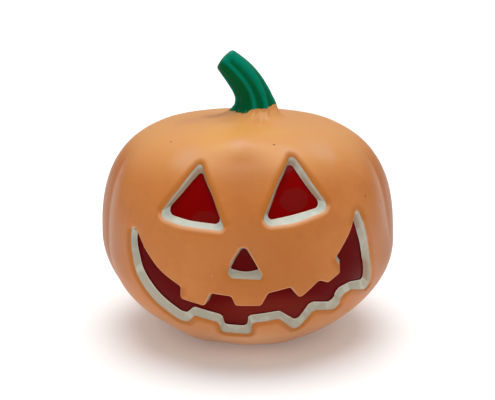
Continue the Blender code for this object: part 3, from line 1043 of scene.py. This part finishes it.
def shell_finish():
    """Sprayed orange body and green stem over white plastic that shows on the walls."""
    finish = Finish("painted_plastic", Specular_IOR_Level=BODY_SHINE)
    spot = finish.place()
    mottle = finish.noise(spot, MOTTLE, 3)
    rim = finish.attribute("rim_distance")
    facing = finish.attribute("wall_rise")
    speckle = 0.5 * (finish.noise(spot, GRAIN) - 0.5) + 0.4 * (mottle - 0.5)
    white = bare_plastic(finish, spot, mottle, rim, facing)
    orange = orange_paint(finish, spot, mottle, rim, facing)
    sprayed = finish.rise(rim + speckle, -PAINT_EDGE, PAINT_EDGE)
    colour = finish.mixed(sprayed, white, orange)
    pits = finish.relief(finish.noise(spot, PITS), PIT_DEPTH)
    bumps = finish.relief(mottle, MOTTLE_DEPTH, pits)
    finish.dress(colour, BODY_ROUGHNESS + 0.12 * (mottle - 0.5), bumps)
    body = Flow(finish, finish.shader.outputs[0])
    stem = finish.node("ShaderNodeBsdfPrincipled", {}, {
        "Base Color": stem_paint(finish, spot, mottle), "Specular IOR Level": STEM_SHINE,
        "Roughness": STEM_ROUGHNESS + 0.1 * mottle, "Normal": bumps,
    })
    cover = stem_cover(finish, spot)
    finish.top(finish.node("ShaderNodeMixShader", {}, {"Fac": cover, 1: body, 2: stem}))
    return finish


def sheet_finish():
    """Glossy deep red, darker below as painted shade, with faint painted reflections in the eyes
    and the mouth.
    """
    finish = Finish("deep_red_plastic", Specular_IOR_Level=SHEET_SHINE)
    spot = finish.place()
    cloud = finish.noise(spot, SHEET_CLOUD)
    height = finish.along(spot, "Z")
    across = finish.along(spot, "X")
    red = finish.mixed(cloud, RED_DEEP, RED)
    # Painted shade on the lower part of the sheet
    red = finish.mixed(finish.rise(height + 8 * (cloud - 0.5), *SHEET_SHADE_HEIGHTS), red, RED_LOW_SHADE)
    # Painted reflections of lights in the eyes and of the floor in the mouth
    for x, z, half_width, half_height, core, tint in PAINTED_REFLECTIONS:
        right = (across - x) * (1 / half_width)
        up = (height - z) * (1 / half_height)
        red = finish.mixed(finish.rise(right * right + up * up, 1.1, core), red, tint)
    dents = finish.relief(finish.noise(spot, DENTS), DENT_DEPTH)
    finish.dress(red, SHEET_ROUGHNESS + 0.06 * finish.noise(spot, 4), dents)
    return finish


def studio_camera():
    """Camera at the photograph's distance, height and tilt."""
    data = bpy.data.cameras.new("camera")
    data.sensor_width = SENSOR_WIDTH
    data.lens = CAMERA_LENS
    data.shift_y = CAMERA_SHIFT
    camera = bpy.data.objects.new("camera", data)
    elevation = math.radians(CAMERA_ELEVATION)
    aim = Vector((0, 0, CAMERA_AIM))
    reach = Vector((0, -math.cos(elevation), math.sin(elevation))) * CAMERA_DISTANCE
    camera.location = aim + reach
    camera.rotation_euler = (math.pi / 2 - elevation, 0, 0)
    bpy.context.collection.objects.link(camera)
    bpy.context.scene.camera = camera


def pale_floor():
    """A wide pale floor that glows a little, as a lit table does."""
    shape = bmesh.new()
    bmesh.ops.create_circle(shape, cap_ends=True, segments=FLOOR_SIDES, radius=FLOOR_RADIUS)
    floor = finished("floor", shape)
    finish = Finish("pale_floor", Roughness=FLOOR_ROUGHNESS, Emission_Strength=TABLE_GLOW)
    finish.feed(finish.shader.inputs["Emission Color"], (1, 1, 1, 1))
    cloud = finish.noise(finish.place(), FLOOR_CLOUD)
    finish.feed(finish.shader.inputs["Base Color"], finish.mixed(cloud, FLOOR_DARK, FLOOR_PALE))
    finish.coat(floor)


def surroundings():
    """Grey surroundings that get lighter from the horizon up."""
    world = bpy.data.worlds.new("surroundings")
    bpy.context.scene.world = world
    world.use_nodes = True
    recipe = Recipe(world.node_tree)
    way = recipe.node("ShaderNodeTexCoord", {}, {}, "Generated")
    climb = recipe.rise(recipe.along(way, "Z"), -0.05, 0.7)
    background = world.node_tree.nodes["Background"]
    recipe.feed(background.inputs["Color"], recipe.mixed(climb, HORIZON, ZENITH))


def sky_light():
    """Broad soft light from overhead."""
    data = bpy.data.lights.new("sky", "SUN")
    data.energy = SUN_STRENGTH
    data.angle = SUN_SPREAD
    sky = bpy.data.objects.new("sky", data)
    sky.rotation_euler = (SUN_TILT, 0, 0)
    bpy.context.collection.objects.link(sky)


def chin_light():
    """A weak soft box near the floor, in front of the chin."""
    data = bpy.data.lights.new("chin_fill", "AREA")
    data.shape = "SQUARE"
    data.size = CHIN_LIGHT_SIZE
    data.energy = CHIN_LIGHT_POWER
    lamp = bpy.data.objects.new("chin_fill", data)
    lamp.location = CHIN_LIGHT_PLACE
    way = Vector(CHIN_LIGHT_PLACE) - Vector(CHIN_LIGHT_TARGET)
    lamp.rotation_euler = way.to_track_quat("Z", "Y").to_euler()
    bpy.context.collection.objects.link(lamp)


def main():
    """The studio, then the shell and the sheet in place of their CAD nodes."""
    studio_camera()
    pale_floor()
    surroundings()
    sky_light()
    chin_light()
    bpy.context.scene.view_settings.view_transform = "Standard"
    shell = pumpkin_shell()
    shell_finish().coat(shell)
    sheet = red_sheet()
    sheet_finish().coat(sheet)
    for piece, node in ((shell, "shell"), (sheet, "liner")):
        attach(piece, "root")
        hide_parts(node)


main()
